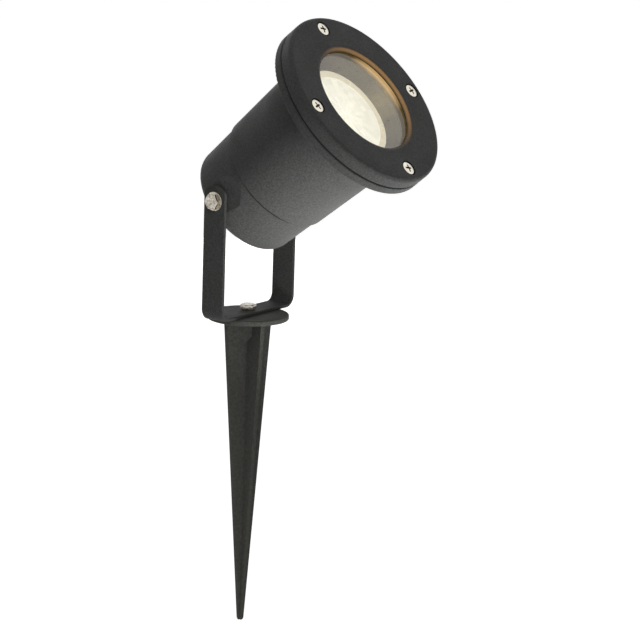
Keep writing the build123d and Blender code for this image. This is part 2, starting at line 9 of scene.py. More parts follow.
import bmesh
import bpy
from bpy.props import FloatProperty, FloatVectorProperty, IntProperty, PointerProperty
from mathutils import Matrix, Vector


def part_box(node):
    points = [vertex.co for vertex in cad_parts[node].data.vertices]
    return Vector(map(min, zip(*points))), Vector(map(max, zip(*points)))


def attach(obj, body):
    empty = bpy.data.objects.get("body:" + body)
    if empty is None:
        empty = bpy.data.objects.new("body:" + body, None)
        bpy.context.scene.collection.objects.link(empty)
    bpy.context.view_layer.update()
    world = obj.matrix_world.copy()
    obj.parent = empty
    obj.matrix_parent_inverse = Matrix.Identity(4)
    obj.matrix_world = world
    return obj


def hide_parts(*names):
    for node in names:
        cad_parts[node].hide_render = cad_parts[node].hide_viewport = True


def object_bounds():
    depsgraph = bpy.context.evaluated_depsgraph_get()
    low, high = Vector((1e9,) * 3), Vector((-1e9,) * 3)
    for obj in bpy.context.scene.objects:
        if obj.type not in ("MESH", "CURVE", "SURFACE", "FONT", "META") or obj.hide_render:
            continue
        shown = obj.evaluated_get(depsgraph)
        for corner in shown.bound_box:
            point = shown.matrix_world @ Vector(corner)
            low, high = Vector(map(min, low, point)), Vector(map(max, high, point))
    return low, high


bl_info = {
    "name": "Garden spike spotlight",
    "version": (1, 0, 0),
    "blender": (4, 5, 0),
    "location": "View3D > Sidebar > Spotlight",
    "description": "Finishes, fine detail and a studio stage for a spotlight on a ground spike",
    "category": "Object",
}

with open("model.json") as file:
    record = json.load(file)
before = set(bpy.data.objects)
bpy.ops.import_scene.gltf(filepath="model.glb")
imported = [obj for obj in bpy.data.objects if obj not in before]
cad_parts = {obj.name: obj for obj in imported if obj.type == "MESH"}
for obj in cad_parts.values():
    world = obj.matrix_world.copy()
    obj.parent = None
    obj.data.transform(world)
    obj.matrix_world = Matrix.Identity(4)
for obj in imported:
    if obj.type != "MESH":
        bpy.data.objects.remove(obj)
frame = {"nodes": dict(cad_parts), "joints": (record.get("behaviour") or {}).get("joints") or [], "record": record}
cad_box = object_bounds()

MM = 0.001

# Range that most values of a noise texture fall in
NOISE_LOW, NOISE_HIGH = 0.3, 0.7


def linear(hex_code):
    """Turn an sRGB hex colour into the linear values that Blender's sockets take."""
    channels = [int(hex_code[i : i + 2], 16) / 255 for i in (1, 3, 5)]
    return [c / 12.92 if c <= 0.04045 else ((c + 0.055) / 1.055) ** 2.4 for c in channels] + [1.0]


# The head's own directions and places, read from the frame
cable_entry = next(m for m in frame["record"]["mounts"] if m["name"] == "cable_entry")
head_tilt = next(j for j in frame["joints"] if j["name"] == "head_tilt")
ACROSS = Vector((0.0, 1.0, 0.0))
HEAD_DIR = -Vector(cable_entry["axis"]).normalized()
HEAD_REAR = Vector(cable_entry["pos_m"])
PIVOT = Vector(head_tilt["pos_m"])


def head_reach(node):
    """Least and greatest distance of a CAD node from the head's axis, then ahead of the cable entry."""
    radii, reaches = [], []
    for vertex in frame["nodes"][node].data.vertices:
        arm = vertex.co - HEAD_REAR
        ahead = arm.dot(HEAD_DIR)
        reaches.append(ahead)
        radii.append((arm - HEAD_DIR * ahead).length)
    return min(radii), max(radii), min(reaches), max(reaches)


def axes_at(origin, x_dir, z_dir):
    """Matrix that stands a mesh made round Z on a point, with its Z and X along two square directions."""
    axes = Matrix((x_dir, z_dir.cross(x_dir), z_dir)).transposed()
    return Matrix.Translation(origin) @ axes.to_4x4()


HEAD_FRONT = head_reach("bezel_ring")[3]
FRONT_CENTRE = HEAD_REAR + HEAD_DIR * HEAD_FRONT
HEAD_TURN = axes_at(FRONT_CENTRE, ACROSS, HEAD_DIR).to_euler()


# Settings that a user would change
class SpotlightFinishes(bpy.types.PropertyGroup):
    """Colours of the finishes that show."""

    coat: FloatVectorProperty(
        name="Coat", description="Textured powder coat on the castings and the bracket",
        subtype="COLOR", size=4, min=0.0, max=1.0, default=linear("#585957"),
    )
    coat_deep: FloatVectorProperty(
        name="Coat, hollows", description="The coat in the hollows of its grain",
        subtype="COLOR", size=4, min=0.0, max=1.0, default=linear("#454645"),
    )
    spike: FloatVectorProperty(
        name="Spike", description="Moulded plastic of the ground spike",
        subtype="COLOR", size=4, min=0.0, max=1.0, default=linear("#5e5e5a"),
    )
    steel: FloatVectorProperty(
        name="Bolts", description="Stainless steel of the bolts and washers",
        subtype="COLOR", size=4, min=0.0, max=1.0, default=linear("#cdc7bb"),
    )
    lamp_light: FloatVectorProperty(
        name="Lamp light", description="Colour of the lit lamp",
        subtype="COLOR", size=4, min=0.0, max=1.0, default=linear("#fff9e5"),
    )
    lamp_level: FloatProperty(
        name="Lamp level", description="Brightness of the lit lamp, where 1 is plain white",
        min=0.0, max=10.0, default=0.79,
    )


class SpotlightSizes(bpy.types.PropertyGroup):
    """Sizes of the fine detail."""

    hex_flats: FloatProperty(
        name="Hexagon", description="Bolt heads across their flats",
        subtype="DISTANCE", unit="LENGTH", default=7.0 * MM,
    )
    hex_height: FloatProperty(
        name="Bolt head", description="Height of the bolt heads",
        subtype="DISTANCE", unit="LENGTH", default=2.3 * MM,
    )
    bolt_radius: FloatProperty(
        name="Bolt", description="Radius of the bolts' shanks",
        subtype="DISTANCE", unit="LENGTH", default=2.0 * MM,
    )
    washer_radius: FloatProperty(
        name="Washer", description="Outer radius of the washers at the pivot",
        subtype="DISTANCE", unit="LENGTH", default=4.7 * MM,
    )
    washer_thickness: FloatProperty(
        name="Washer thickness", description="Thickness of the flat washers",
        subtype="DISTANCE", unit="LENGTH", default=0.7 * MM,
    )
    base_washer_radius: FloatProperty(
        name="Base washer", description="Outer radius of the washer under the base bolt",
        subtype="DISTANCE", unit="LENGTH", default=3.5 * MM,
    )
    screw_count: IntProperty(
        name="Bezel screws", description="Screws round the bezel", min=1, default=4
    )
    screw_dome: FloatProperty(
        name="Screw dome", description="How far the middle of a bezel screw's head stands above its rim",
        subtype="DISTANCE", unit="LENGTH", default=0.25 * MM,
    )
    gland_ribs: IntProperty(
        name="Gland ribs", description="Grip ribs round the gland's nut", min=3, default=18
    )


class SpotlightStage(bpy.types.PropertyGroup):
    """Camera, floor and light."""

    azimuth: FloatProperty(
        name="Azimuth", description="Side that the camera looks from",
        subtype="ANGLE", default=radians(34.29),
    )
    elevation: FloatProperty(
        name="Elevation", description="Height of the camera above the horizon",
        subtype="ANGLE", default=radians(11.74),
    )
    roll: FloatProperty(
        name="Roll", description="Lean of the camera", subtype="ANGLE", default=radians(1.83)
    )
    distance: FloatProperty(
        name="Distance", description="From the camera to the foot of the bracket",
        subtype="DISTANCE", unit="LENGTH", default=1.462,
    )
    aside: FloatProperty(
        name="Aside", description="Camera's shift to the right",
        subtype="DISTANCE", unit="LENGTH", default=36.01 * MM,
    )
    above: FloatProperty(
        name="Above", description="Camera's shift upwards",
        subtype="DISTANCE", unit="LENGTH", default=0.30 * MM,
    )
    lens: FloatProperty(name="Lens", description="Focal length in millimetres", default=164.5)
    floor_gap: FloatProperty(
        name="Floor gap", description="Gap under the spike's tip",
        subtype="DISTANCE", unit="LENGTH", default=0.5 * MM,
    )
    key_power: FloatProperty(
        name="Low softbox", description="Power of the softbox under the head",
        subtype="POWER", unit="POWER", default=0.064,
    )
    fill_power: FloatProperty(
        name="High softbox", description="Power of the large softbox in front",
        subtype="POWER", unit="POWER", default=3.6,
    )
    back_power: FloatProperty(
        name="Back softbox", description="Power of the large softbox behind",
        subtype="POWER", unit="POWER", default=2.4,
    )
    foot_power: FloatProperty(
        name="Foot softbox", description="Power of the small softbox at the foot of the spike",
        subtype="POWER", unit="POWER", default=0.024,
    )
    ambient: FloatProperty(
        name="Ambient", description="Even light from all round", min=0.0, max=2.0, default=0.10
    )


# Small helpers for nodes, meshes and objects
def add_node(tree, kind, values=None, links=None, **settings):
    """Add one node to a tree with its settings, socket values and incoming links."""
    made = tree.nodes.new(kind)
    for key, value in settings.items():
        setattr(made, key, value)
    for socket, value in (values or {}).items():
        made.inputs[socket].default_value = value
    for socket, (source, output) in (links or {}).items():
        tree.links.new(source.outputs[output], made.inputs[socket])
    return made


def blank_material(name):
    """Make an empty node material; returns it and its tree."""
    material = bpy.data.materials.new(name)
    material.use_nodes = True
    material.node_tree.nodes.clear()
    return material, material.node_tree


def close_material(tree, values, links):
    """Finish a material with one Principled shader."""
    shader = add_node(tree, "ShaderNodeBsdfPrincipled", values, links)
    add_node(tree, "ShaderNodeOutputMaterial", links={"Surface": (shader, "BSDF")})


def dress(material, *nodes):
    """Give CAD nodes a better material."""
    for node in nodes:
        frame["nodes"][node].material_slots[0].material = material


def added(name, mesh):
    """Put a mesh into the scene as an object at the origin."""
    made = bpy.data.objects.new(name, mesh)
    bpy.context.scene.collection.objects.link(made)
    return made


def piece(name, mesh, body, slot, *nodes):
    """Show a finished mesh that rides on a body, in place of CAD nodes if any are named."""
    made = added(name, mesh)
    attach(made, body)
    if nodes:
        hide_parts(*nodes)


def baked(source):
    """Plain mesh of an object with its modifiers applied; the object is removed."""
    bpy.context.view_layer.update()
    graph = bpy.context.evaluated_depsgraph_get()
    mesh = bpy.data.meshes.new_from_object(source.evaluated_get(graph))
    bpy.data.objects.remove(source)
    return mesh


def smoothed(mesh, sharp=radians(28)):
    """Shade a mesh smooth, with its sharp edges kept."""
    mesh.shade_smooth()
    mesh.set_sharp_from_angle(angle=sharp)
    return mesh


def turned(bm, profile, steps=96):
    """Add a closed (radius, height) profile to a BMesh, turned once round Z."""
    rings = []
    for step in range(steps):
        angle = 2 * pi * step / steps
        rings.append([bm.verts.new((r * cos(angle), r * sin(angle), z)) for r, z in profile])
    for a, b in zip(rings, rings[1:] + rings[:1]):
        for i in range(len(profile)):
            j = (i + 1) % len(profile)
            bm.faces.new((a[i], b[i], b[j], a[j]))


def stored(bm, name):
    """Store a BMesh as a mesh."""
    mesh = bpy.data.meshes.new(name)
    bm.to_mesh(mesh)
    bm.free()
    return mesh


def closed_mesh(bm, name):
    """Merge a BMesh's doubles, turn its faces outwards and store it as a mesh."""
    bmesh.ops.remove_doubles(bm, verts=bm.verts, dist=1e-6)
    bmesh.ops.dissolve_degenerate(bm, edges=bm.edges, dist=1e-7)
    bmesh.ops.recalc_face_normals(bm, faces=bm.faces)
    return stored(bm, name)


def joined(name, meshes):
    """One mesh from several, each already in place."""
    bm = bmesh.new()
    for mesh in meshes:
        bm.from_mesh(mesh)
        bpy.data.meshes.remove(mesh)
    return stored(bm, name)


# Places, and painted light and shade, that several materials share
def head_coordinates(tree):
    """Object coordinates turned to the head: x across, y up, z ahead of the bezel's front."""
    place = add_node(tree, "ShaderNodeTexCoord")
    return add_node(
        tree, "ShaderNodeMapping", {"Location": FRONT_CENTRE, "Rotation": HEAD_TURN},
        {"Vector": (place, "Object")}, vector_type="TEXTURE",
    )


def round_coordinates(tree):
    """The head's own coordinates, whole, split and without z, and the distance from its axis."""
    local = head_coordinates(tree)
    parts = add_node(tree, "ShaderNodeSeparateXYZ", links={"Vector": (local, "Vector")})
    flat = add_node(tree, "ShaderNodeCombineXYZ", links={"X": (parts, "X"), "Y": (parts, "Y")})
    radius = add_node(tree, "ShaderNodeVectorMath", links={0: (flat, "Vector")}, operation="LENGTH")
    return local, parts, flat, radius


def faded(tree, level, *fades):
    """Level that several fades lower; the level is a node and its output, before and after.

    A fade is (source, span, shares): its share runs from the first to the second along the source's span.
    """
    for source, span, shares in fades:
        fade = add_node(
            tree, "ShaderNodeMapRange",
            {"From Min": span[0], "From Max": span[1], "To Min": shares[0], "To Max": shares[1]},
            {"Value": source},
        )
        product = add_node(
            tree, "ShaderNodeMath", links={0: level, 1: (fade, "Result")}, operation="MULTIPLY"
        )
        level = (product, "Value")
    return level


def lit_side(tree, flat):
    """How far a place round the head's axis lies towards the side that the lamp lights best: -1 to 1."""
    side = radians(68)
    way = add_node(tree, "ShaderNodeVectorMath", links={0: (flat, "Vector")}, operation="NORMALIZE")
    return add_node(
        tree, "ShaderNodeVectorMath", {1: (sin(side), cos(side), 0.0)}, {0: (way, "Vector")},
        operation="DOT_PRODUCT",
    )


def painted_light_on_lip(tree, level):
    """Painted lamp light on the rounded lip of the bezel's opening, drawn as emission.

    It fades towards the front face, towards the glass and away from the lit side.
    """
    unlit_share = 0.1
    face_span = (-0.08 * MM, -0.40 * MM)
    glass_span, glass_shares = (-1.05 * MM, -1.35 * MM), (1.0, 0.4)
    opening_span = (31.2 * MM, 31.0 * MM)
    _, parts, flat, radius = round_coordinates(tree)
    lit = add_node(
        tree, "ShaderNodeMapRange",
        {"From Min": -0.1, "From Max": 0.9, "To Min": unlit_share * level, "To Max": level},
        {"Value": (lit_side(tree, flat), "Value")},
    )
    return faded(
        tree, (lit, "Result"),
        ((parts, "Z"), face_span, (0.0, 1.0)),
        ((parts, "Z"), glass_span, glass_shares),
        ((radius, "Value"), opening_span, (0.0, 1.0)),
    )


def corner_shade(tree, colour, reach_mm, own_only):
    """Painted shade: darker colour in corners, those of the piece itself, or those with other pieces too."""
    corner = add_node(
        tree, "ShaderNodeAmbientOcclusion", {"Distance": reach_mm * MM}, only_local=own_only
    )
    # Painted shade: the colour goes towards near black where other surfaces are close
    return add_node(
        tree, "ShaderNodeMix", {"A": linear("#080808")},
        {"Factor": (corner, "AO"), "B": (colour, "Result")}, data_type="RGBA",
    )


def crease_shade(tree, colour, depth_mm):
    """Painted shadow line in the crease round the body, at a depth behind the bezel's front.

    It fades out above the head's axis and along the lowest side, where the crease catches light.
    """
    half_width = 0.35 * MM
    upper_span, lowest_span = (0.0, -9.0 * MM), (-28.5 * MM, -24.0 * MM)
    local = add_node(
        tree, "ShaderNodeSeparateXYZ", links={"Vector": (head_coordinates(tree), "Vector")}
    )
    ring = add_node(
        tree, "ShaderNodeMath", {1: -depth_mm * MM, 2: half_width}, {0: (local, "Z")}, operation="COMPARE"
    )
    line = faded(
        tree, (ring, "Value"),
        ((local, "Y"), upper_span, (0.0, 1.0)),
        ((local, "Y"), lowest_span, (0.0, 1.0)),
    )
    # Painted shadow: the line's near-black grey
    return add_node(
        tree, "ShaderNodeMix", {"B": linear("#2a2a2a")}, {"Factor": line, "A": (colour, "Result")},
        data_type="RGBA",
    )


def recess_shade(tree, colour, depth_mm):
    """Painted shade: dark colour below a depth behind the bezel's front, as in the recesses of its screws."""
    local = add_node(
        tree, "ShaderNodeSeparateXYZ", links={"Vector": (head_coordinates(tree), "Vector")}
    )
    hollow = add_node(
        tree, "ShaderNodeMath", {1: -depth_mm * MM}, {0: (local, "Z")}, operation="LESS_THAN"
    )
    # Painted shade in the recesses, in dark brown
    return add_node(
        tree, "ShaderNodeMix", {"B": linear("#2c2823")},
        {"Factor": (hollow, "Value"), "A": (colour, "Result")}, data_type="RGBA",
    )


# Kinds of surface
def grained(
    name, pale, deep, *, grain_mm, relief_mm, rough, specular=0.5, metallic=0.0, cloud_mm=14.0,
    glow=linear("#ffffff"), painted_glow_strength=0.0, corner_mm=None, corner_own=True, crease_mm=None,
    recess_mm=None, painted_lip_brightness=None,
):
    """Coated, moulded or cast surface, whose colours and relief follow one grain size.

    The last five settings add painted shade in corners, in the body's crease and in screw recesses, and painted
    lamp light on the bezel's lip.
    """
    speck_low, speck_high = 0.36, 0.64
    relief_share = 0.6
    material, tree = blank_material(name)
    place = add_node(tree, "ShaderNodeTexCoord")
    fine = add_node(
        tree, "ShaderNodeTexNoise", {"Scale": 1 / (grain_mm * MM), "Detail": 3.0, "Roughness": 0.65},
        {"Vector": (place, "Object")},
    )
    cloud = add_node(
        tree, "ShaderNodeTexNoise", {"Scale": 1 / (cloud_mm * MM), "Detail": 2.0},
        {"Vector": (place, "Object")},
    )
    speck = add_node(
        tree, "ShaderNodeMapRange", {"From Min": speck_low, "From Max": speck_high},
        {"Value": (fine, "Fac")},
    )
    colour = add_node(
        tree, "ShaderNodeMix", {"A": deep, "B": pale}, {"Factor": (speck, "Result")}, data_type="RGBA"
    )
    # Painted shade in corners, in the crease and in recesses, which darkens the colour
    if corner_mm is not None:
        colour = corner_shade(tree, colour, corner_mm, corner_own)
    if crease_mm is not None:
        colour = crease_shade(tree, colour, crease_mm)
    if recess_mm is not None:
        colour = recess_shade(tree, colour, recess_mm)
    gloss = add_node(
        tree, "ShaderNodeMapRange",
        {"From Min": NOISE_LOW, "From Max": NOISE_HIGH, "To Min": rough[0], "To Max": rough[1]},
        {"Value": (cloud, "Fac")},
    )
    relief = add_node(
        tree, "ShaderNodeBump", {"Strength": relief_share, "Distance": relief_mm * MM},
        {"Height": (fine, "Fac")},
    )
    # Emission here is painted light: the glow of the lamp bowl, and the colour of the painted lamp light on the
    # bezel's lip
    values = {
        "Metallic": metallic, "Specular IOR Level": specular,
        "Emission Color": glow, "Emission Strength": painted_glow_strength,
    }
    links = {
        "Base Color": (colour, "Result"), "Roughness": (gloss, "Result"), "Normal": (relief, "Normal"),
    }
    # Painted lamp light on the bezel's lip, drawn as emission
    if painted_lip_brightness is not None:
        links["Emission Strength"] = painted_light_on_lip(tree, painted_lip_brightness)
    close_material(tree, values, links)
    return material


def spun(name, pale, deep, *, streak_mm, smear_mm, relief_mm, rough, shine, painted_reflection_strength):
    """Metal spun on a lathe: fine lines that run round the head's axis.

    One side of its collar has a painted reflection of the lamp, drawn as emission.
    """
    relief_share = 0.25
    collar_span = (-9.4 * MM, -7.6 * MM)
    material, tree = blank_material(name)
    local, parts, flat, radius = round_coordinates(tree)
    profile = add_node(
        tree, "ShaderNodeCombineXYZ", links={"X": (radius, "Value"), "Y": (parts, "Z")}
    )
    line = add_node(
        tree, "ShaderNodeTexNoise", {"Scale": 1 / (streak_mm * MM), "Detail": 2.0},
        {"Vector": (profile, "Vector")},
    )
    smear = add_node(
        tree, "ShaderNodeTexNoise", {"Scale": 1 / (smear_mm * MM), "Detail": 3.0},
        {"Vector": (local, "Vector")},
    )
    colour = add_node(
        tree, "ShaderNodeMix", {"A": deep, "B": pale}, {"Factor": (line, "Fac")}, data_type="RGBA"
    )
    gloss = add_node(
        tree, "ShaderNodeMapRange",
        {"From Min": NOISE_LOW, "From Max": NOISE_HIGH, "To Min": rough[0], "To Max": rough[1]},
        {"Value": (smear, "Fac")},
    )
    relief = add_node(
        tree, "ShaderNodeBump", {"Strength": relief_share, "Distance": relief_mm * MM},
        {"Height": (line, "Fac")},
    )
    # Painted reflection of the lamp on the lit side of the collar
    lit = add_node(
        tree, "ShaderNodeMapRange", {"From Min": 0.82, "From Max": 0.98, "To Max": painted_reflection_strength},
        {"Value": (lit_side(tree, flat), "Value")},
    )
    painted_collar_reflection = faded(tree, (lit, "Result"), ((parts, "Z"), collar_span, (0.0, 1.0)))
    close_material(
        tree, {"Metallic": 1.0, "Emission Color": shine},
        {
            "Base Color": (colour, "Result"), "Roughness": (gloss, "Result"), "Normal": (relief, "Normal"),
            "Emission Strength": painted_collar_reflection,
        },
    )
    return material


def lit_glass(name, light, level, *, glass_colour, sectors, ring_mm, hot_mm):
    """Cover of the lit lamp: the facets of the reflector behind it show as faint light and dark cells."""
    dim_facet, bright_facet, hot_share = 0.9, 1.1, 1.12
    material, tree = blank_material(name)
    _, parts, _, radius = round_coordinates(tree)
    angle = add_node(
        tree, "ShaderNodeMath", links={0: (parts, "Y"), 1: (parts, "X")}, operation="ARCTAN2"
    )
    sector = add_node(
        tree, "ShaderNodeMath", {1: sectors / (2 * pi)}, {0: (angle, "Value")}, operation="MULTIPLY"
    )
    ring = add_node(tree, "ShaderNodeMath", {1: ring_mm * MM}, {0: (radius, "Value")}, operation="DIVIDE")
    column = add_node(tree, "ShaderNodeMath", links={0: (sector, "Value")}, operation="FLOOR")
    row = add_node(tree, "ShaderNodeMath", links={0: (ring, "Value")}, operation="FLOOR")
    cell = add_node(tree, "ShaderNodeCombineXYZ", links={"X": (column, "Value"), "Y": (row, "Value")})
    chance = add_node(
        tree, "ShaderNodeTexWhiteNoise", links={"Vector": (cell, "Vector")}, noise_dimensions="2D"
    )
    facet = add_node(
        tree, "ShaderNodeMapRange", {"To Min": dim_facet * level, "To Max": bright_facet * level},
        {"Value": (chance, "Value")},
    )
    glow = faded(
        tree, (facet, "Result"), ((radius, "Value"), (0.0, hot_mm * MM), (hot_share, 1.0))
    )
    close_material(
        tree, {"Base Color": glass_colour, "Roughness": 0.2, "Emission Color": light},
        {"Emission Strength": glow},
    )
    return material


def glass(name, tint, *, wave_mm, ior=1.52, glow=0.0):
    """Clear pressed or float glass, faintly wavy."""
    clear_below, hazy_at, haze = 0.4, 0.7, 0.03
    material, tree = blank_material(name)
    place = add_node(tree, "ShaderNodeTexCoord")
    wave = add_node(
        tree, "ShaderNodeTexNoise", {"Scale": 1 / (wave_mm * MM), "Detail": 1.0},
        {"Vector": (place, "Object")},
    )
    smear = add_node(
        tree, "ShaderNodeMapRange", {"From Min": clear_below, "From Max": hazy_at, "To Max": haze},
        {"Value": (wave, "Fac")},
    )
    close_material(
        tree,
        {
            "Base Color": tint, "IOR": ior, "Transmission Weight": 1.0,
            "Emission Color": linear("#ffe2b0"), "Emission Strength": glow,
        },
        {"Roughness": (smear, "Result")},
    )
    return material


# Materials, each from what the real one is and how its surface was made; some also carry painted light and shade
def coat_materials(finishes):
    """Coats and plastics of the parts that show."""
    return {
        # Die-cast aluminium with a fine textured powder coat: dull, with a grain of tiny bumps.
        # The real grain is about 0.4 mm; it is drawn at 0.9 mm so that it shows.
        # Its corners get painted shade, and its crease a painted shadow line
        "black_cast_coat": grained(
            "cast aluminium in textured powder coat, with painted shade", finishes.coat, finishes.coat_deep,
            grain_mm=0.9, relief_mm=0.10, rough=(0.5, 0.62), specular=0.12, corner_mm=2.2, crease_mm=66.25,
        ),
        # The same coat on the bezel, with painted lamp light on its lip and painted shade where it meets other
        # pieces
        "bezel_with_painted_light_and_shade": grained(
            "textured powder coat on cast bezel", finishes.coat, finishes.coat_deep,
            grain_mm=0.9, relief_mm=0.10, rough=(0.5, 0.62), specular=0.12, glow=linear("#ffbf6e"),
            corner_mm=2.2, corner_own=False, painted_lip_brightness=0.25,
        ),
        # Steel strip with the same coat, laid thinner: finer grain
        "black_steel_coat": grained(
            "powder coat on steel strip", finishes.coat, finishes.coat_deep,
            grain_mm=0.7, relief_mm=0.06, rough=(0.52, 0.64), specular=0.06,
        ),
        # Moulded polypropylene with a spark-eroded mould finish: satin, with faint flow clouds
        "black_spike_plastic": grained(
            "moulded black polypropylene", finishes.spike, linear("#51514d"),
            grain_mm=1.4, relief_mm=0.04, rough=(0.55, 0.68), specular=0.08,
        ),
        # Moulded rubber: nearly black, no gloss
        "black_rubber": grained(
            "moulded black rubber", linear("#1b1b1a"), linear("#111110"),
            grain_mm=0.6, relief_mm=0.03, rough=(0.7, 0.85), specular=0.3,
        ),
        # Moulded polyamide, natural and black: satin, with a faint mould grain
        "white_nylon": grained(
            "natural polyamide", linear("#e6e2d6"), linear("#d9d4c6"),
            grain_mm=1.0, relief_mm=0.03, rough=(0.4, 0.55), specular=0.45,
        ),
        "black_nylon": grained(
            "black polyamide", linear("#333332"), linear("#272726"),
            grain_mm=0.8, relief_mm=0.04, rough=(0.45, 0.6), specular=0.4,
        ),
        # Extruded silicone sleeve of the leads: dull and soft
        "lead_silicone": grained(
            "silicone sleeve", linear("#c9bfae"), linear("#b9ae9b"),
            grain_mm=0.9, relief_mm=0.03, rough=(0.5, 0.65), specular=0.35,
        ),
    }


def metal_materials(finishes):
    """Bare and plated metals."""
    return {
        # Turned and rolled stainless steel: bright, with fine rolling marks
        "stainless_steel": grained(
            "rolled stainless steel", finishes.steel, linear("#8b8478"),
            grain_mm=1.5, relief_mm=0.03, rough=(0.08, 0.18), metallic=1.0, cloud_mm=3.0,
        ),
        # Nickel plate on the bezel screws: paler than the bolts, with painted shade in its recesses
        "screws_with_painted_recess_shade": grained(
            "nickel plate, with painted shade in the recesses", linear("#f4efe2"), linear("#e4dccb"),
            grain_mm=0.8, relief_mm=0.03, rough=(0.25, 0.4), metallic=1.0, cloud_mm=3.0, recess_mm=0.4,
        ),
        # Zinc plate on steel: duller and bluer
        "zinc_steel": grained(
            "zinc plated steel", linear("#b9bcbf"), linear("#9a9da1"),
            grain_mm=0.8, relief_mm=0.02, rough=(0.35, 0.5), metallic=1.0, cloud_mm=5.0,
        ),
        # Drawn brass: yellow, with a soft shine
        "brass": grained(
            "drawn brass", linear("#d9b566"), linear("#b8934a"),
            grain_mm=0.7, relief_mm=0.02, rough=(0.25, 0.4), metallic=1.0, cloud_mm=4.0,
        ),
        # Spun aluminium, scuffed: lines run round the axis; its grey is warmed with painted lamp light, and its
        # collar has a painted reflection of the lamp
        "shroud_aluminium": spun(
            "aluminium, spun, with painted lamp light", linear("#7c6b42"), linear("#685a36"), streak_mm=0.5, smear_mm=3.0,
            relief_mm=0.02, rough=(0.42, 0.52), shine=linear("#ffd090"), painted_reflection_strength=0.55,
        ),
    }


def lamp_materials(finishes):
    """Glass and ceramic of the lens, the lamp and its holder."""
    return {
        # Toughened float glass, polished: clear
        "clear_glass": glass("clear toughened glass", linear("#fbfdfc"), wave_mm=18.0),
        # Pressed glass with a mirror film behind it: opaque and glossy.
        # Its glow is painted lamp light, which shows on its thick rim.
        "lamp_mirror_glass": grained(
            "pressed mirror glass, with painted glow", linear("#b3a88f"), linear("#9f947c"),
            grain_mm=2.2, relief_mm=0.03, rough=(0.2, 0.34), cloud_mm=6.0,
            glow=linear("#fff2d0"), painted_glow_strength=0.55,
        ),
        # Pressed cover glass in front of the faceted mirror: all light, with faint cells
        "lamp_cover_glass": lit_glass(
            "lit lamp glass", finishes.lamp_light, finishes.lamp_level,
            glass_colour=linear("#8a8474"), sectors=32, ring_mm=3.4, hot_mm=14.0,
        ),
        # Quartz capsule round the filament: clear and glowing
        "capsule_glass": glass("quartz capsule", linear("#ffffff"), wave_mm=4.0, ior=1.46, glow=1.0),
        # Glazed steatite: off-white, dense, smooth
        "white_ceramic": grained(
            "glazed steatite", linear("#ece7dc"), linear("#e2dccf"),
            grain_mm=1.2, relief_mm=0.02, rough=(0.22, 0.34),
        ),
    }


# Materials by their slot, made by the first operator
finish = {}


# Operators, one for each piece or group of like pieces
class SPOTLIGHT_OT_finishes(bpy.types.Operator):
    """Make the materials of the spotlight"""

    bl_idname = "spotlight.finishes"
    bl_label = "Finishes"

    def execute(self, context):
        for make in (coat_materials, metal_materials, lamp_materials):
            finish.update(make(context.scene.spotlight_finishes))
        return {"FINISHED"}


class SPOTLIGHT_OT_castings(bpy.types.Operator):
    """Coat the cast body and the bezel ring"""

    bl_idname = "spotlight.castings"
    bl_label = "Body and bezel"

    def execute(self, context):
        dress(finish["black_cast_coat"], "body_housing")
        dress(finish["bezel_with_painted_light_and_shade"], "bezel_ring")
        return {"FINISHED"}


class SPOTLIGHT_OT_bracket(bpy.types.Operator):
    """Coat the yoke bracket and finish its plastic washers"""

    bl_idname = "spotlight.bracket"
    bl_label = "Yoke bracket"

    def execute(self, context):
        dress(finish["black_steel_coat"], "yoke_bracket")
        dress(finish["black_nylon"], "friction_washers")
        return {"FINISHED"}


class SPOTLIGHT_OT_spike(bpy.types.Operator):
    """Finish the ground spike and its threaded insert"""

    bl_idname = "spotlight.spike"
    bl_label = "Ground spike"

    def execute(self, context):
        dress(finish["black_spike_plastic"], "ground_spike")
        dress(finish["brass"], "spike_insert")
        return {"FINISHED"}


def hex_bolt(name, sizes, length, turn):
    """Hex bolt that stands on Z = 0, with its head above and its shank below.

    A cone cuts the corners of the head, which leaves an arc on each flat, and its top is a little hollow.
    """
    steps = 72
    cone = tan(radians(30))
    inner = sizes.hex_flats / 2
    land = inner * 0.94
    dish = land * 0.82
    dish_z = sizes.hex_height - 0.08 * MM
    middle_z = sizes.hex_height - 0.05 * MM
    bm = bmesh.new()
    rings = []
    for step in range(steps):
        angle = 2 * pi * step / steps
        edge = inner / cos((angle % (pi / 3)) - pi / 6)
        crown = sizes.hex_height - (edge - land) * cone
        spots = [
            (0.0, -length), (sizes.bolt_radius, -length), (sizes.bolt_radius, 0.0), (edge, 0.0),
            (edge, crown), (land, sizes.hex_height), (dish, dish_z), (0.0, middle_z),
        ]
        way = angle + turn
        rings.append([bm.verts.new((r * cos(way), r * sin(way), z)) for r, z in spots])
    for a, b in zip(rings, rings[1:] + rings[:1]):
        for i in range(len(a) - 1):
            bm.faces.new((a[i], b[i], b[i + 1], a[i + 1]))
    return closed_mesh(bm, name)


def washer(name, sizes, outer):
    """Flat washer under Z = 0, with its outer edges rolled over."""
    roll = 0.15 * MM
    play = 0.2 * MM
    inner, low = sizes.bolt_radius + play, -sizes.washer_thickness
    bm = bmesh.new()
    turned(bm, [
        (inner, low), (outer - roll, low), (outer, low + roll), (outer, -roll), (outer - roll, 0.0),
        (inner, 0.0),
    ])
    return closed_mesh(bm, name)


